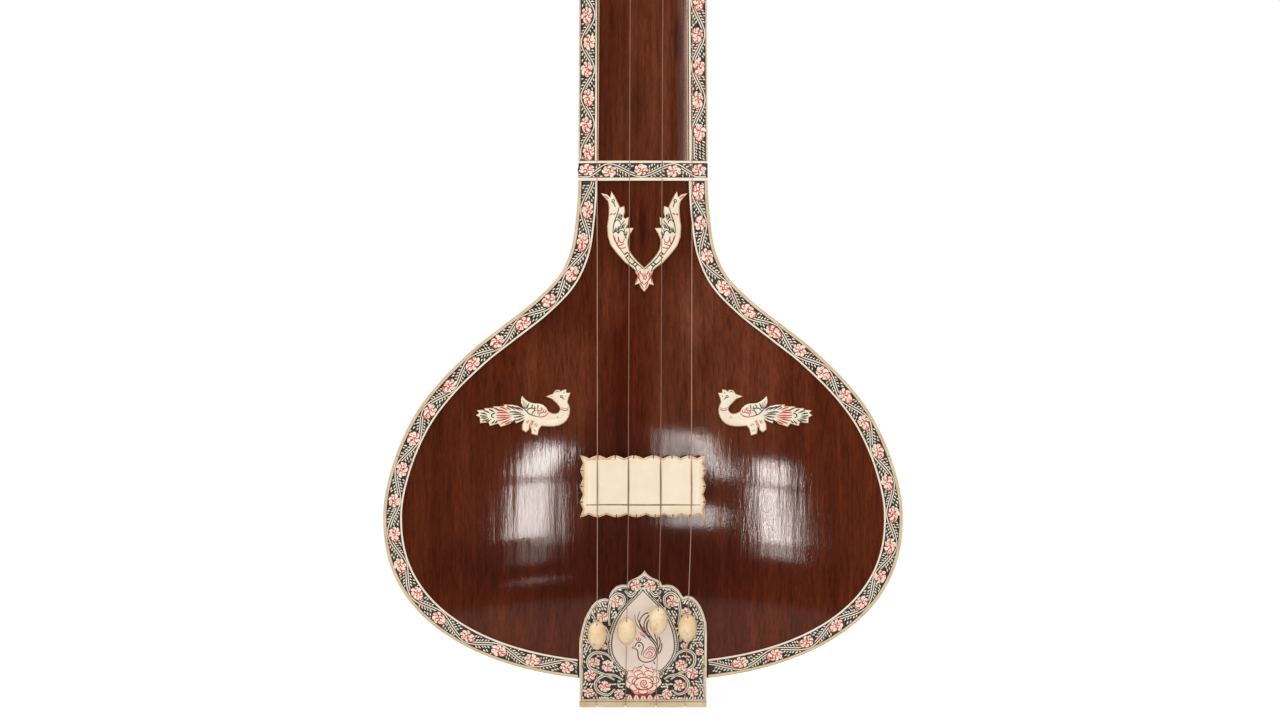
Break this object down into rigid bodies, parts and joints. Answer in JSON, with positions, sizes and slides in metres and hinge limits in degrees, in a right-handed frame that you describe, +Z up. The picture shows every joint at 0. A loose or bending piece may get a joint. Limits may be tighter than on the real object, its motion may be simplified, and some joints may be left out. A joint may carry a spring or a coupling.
{
  "type": "tanpura",
  "caption": "Long-necked drone lute with a gourd bowl, crowned soundboard, flat bridge, turning pegs and sliding tuning beads on its strings.",
  "frame": {"origin": "lowest point of the gourd, on the centre line, where the gourd rests on the player's thigh or cushion", "axes": "+Z runs up the neck to the head, +X is to the right seen from the front, the soundboard faces -Y"},
  "size_m": [0.404, 0.3593, 1.3409],
  "materials": {
    "lacquered_wood": "dark red-brown lacquer, high gloss",
    "gourd_skin": "dark red-brown lacquer over gourd, gloss",
    "inner_wood": "bare sawn wood",
    "ivory_plate": "polished bone, pale yellow",
    "inlay": "cream celluloid with black and red engraved ornament",
    "string_steel": "drawn wire",
    "brass_pin": "dull brass"
  },
  "bodies": {
    "instrument": {"gourd_shell": "gourd_skin", "shoulder": "lacquered_wood", "neck_tenon": "inner_wood", "neck_trough": "lacquered_wood", "soundboard": "lacquered_wood", "neck_face": "lacquered_wood", "head_cap": "ivory_plate", "gourd_ring": "inlay", "joint_ring": "inlay", "body_border_left": "inlay", "body_border_right": "inlay", "neck_border_left": "inlay", "neck_border_right": "inlay", "joint_band": "inlay", "head_band": "inlay", "peacock_left": "inlay", "peacock_right": "inlay", "twin_birds": "inlay", "bridge_plate": "ivory_plate", "bridge_base": "lacquered_wood", "nut": "ivory_plate", "string_guide": "ivory_plate", "tail_block": "lacquered_wood", "tail_facing": "inlay", "tail_edge": "ivory_plate", "tail_pin_1": "brass_pin", "tail_pin_2": "brass_pin", "tail_pin_3": "brass_pin", "tail_pin_4": "brass_pin", "tail_nail_left": "brass_pin", "tail_nail_right": "brass_pin", "tail_inner_block": "inner_wood", "string_1": "string_steel", "string_2": "string_steel", "string_3": "string_steel", "string_4": "string_steel"},
    "peg_1_set": {"peg_1": "lacquered_wood", "peg_finial_1": "ivory_plate", "winding_1": "string_steel"},
    "peg_2_set": {"peg_2": "lacquered_wood", "peg_finial_2": "ivory_plate", "winding_2": "string_steel"},
    "peg_3_set": {"peg_3": "lacquered_wood", "peg_finial_3": "ivory_plate", "winding_3": "string_steel"},
    "peg_4_set": {"peg_4": "lacquered_wood", "peg_finial_4": "ivory_plate", "winding_4": "string_steel"},
    "bead_1_set": {"bead_1": "ivory_plate"},
    "bead_2_set": {"bead_2": "ivory_plate"},
    "bead_3_set": {"bead_3": "ivory_plate"},
    "bead_4_set": {"bead_4": "ivory_plate"}
  },
  "joints": [
    {"name": "peg_1_turn", "type": "hinge", "parent": "instrument", "child": "peg_1_set", "pos_m": [-0.04663, -0.074, 1.18], "axis": [-1, 0, 0], "continuous": true},
    {"name": "peg_2_turn", "type": "hinge", "parent": "instrument", "child": "peg_2_set", "pos_m": [-0.01455, -0.0978, 1.152], "axis": [0, -1, 0], "continuous": true},
    {"name": "peg_3_turn", "type": "hinge", "parent": "instrument", "child": "peg_3_set", "pos_m": [0.02506, -0.0978, 1.206], "axis": [0, -1, 0], "continuous": true},
    {"name": "peg_4_turn", "type": "hinge", "parent": "instrument", "child": "peg_4_set", "pos_m": [0.04638, -0.074, 1.234], "axis": [1, 0, 0], "continuous": true},
    {"name": "bead_1_slide", "type": "slide", "parent": "instrument", "child": "bead_1_set", "axis": [0.008, -0.328, 0.9446], "range_m": [-0.015, 0.073]},
    {"name": "bead_2_slide", "type": "slide", "parent": "instrument", "child": "bead_2_set", "axis": [0.0154, -0.328, 0.9446], "range_m": [-0.018, 0.07]},
    {"name": "bead_3_slide", "type": "slide", "parent": "instrument", "child": "bead_3_set", "axis": [0.021, -0.3279, 0.9445], "range_m": [-0.0265, 0.0615]},
    {"name": "bead_4_slide", "type": "slide", "parent": "instrument", "child": "bead_4_set", "axis": [0.0271, -0.3279, 0.9443], "range_m": [-0.0215, 0.0665]}
  ]
}
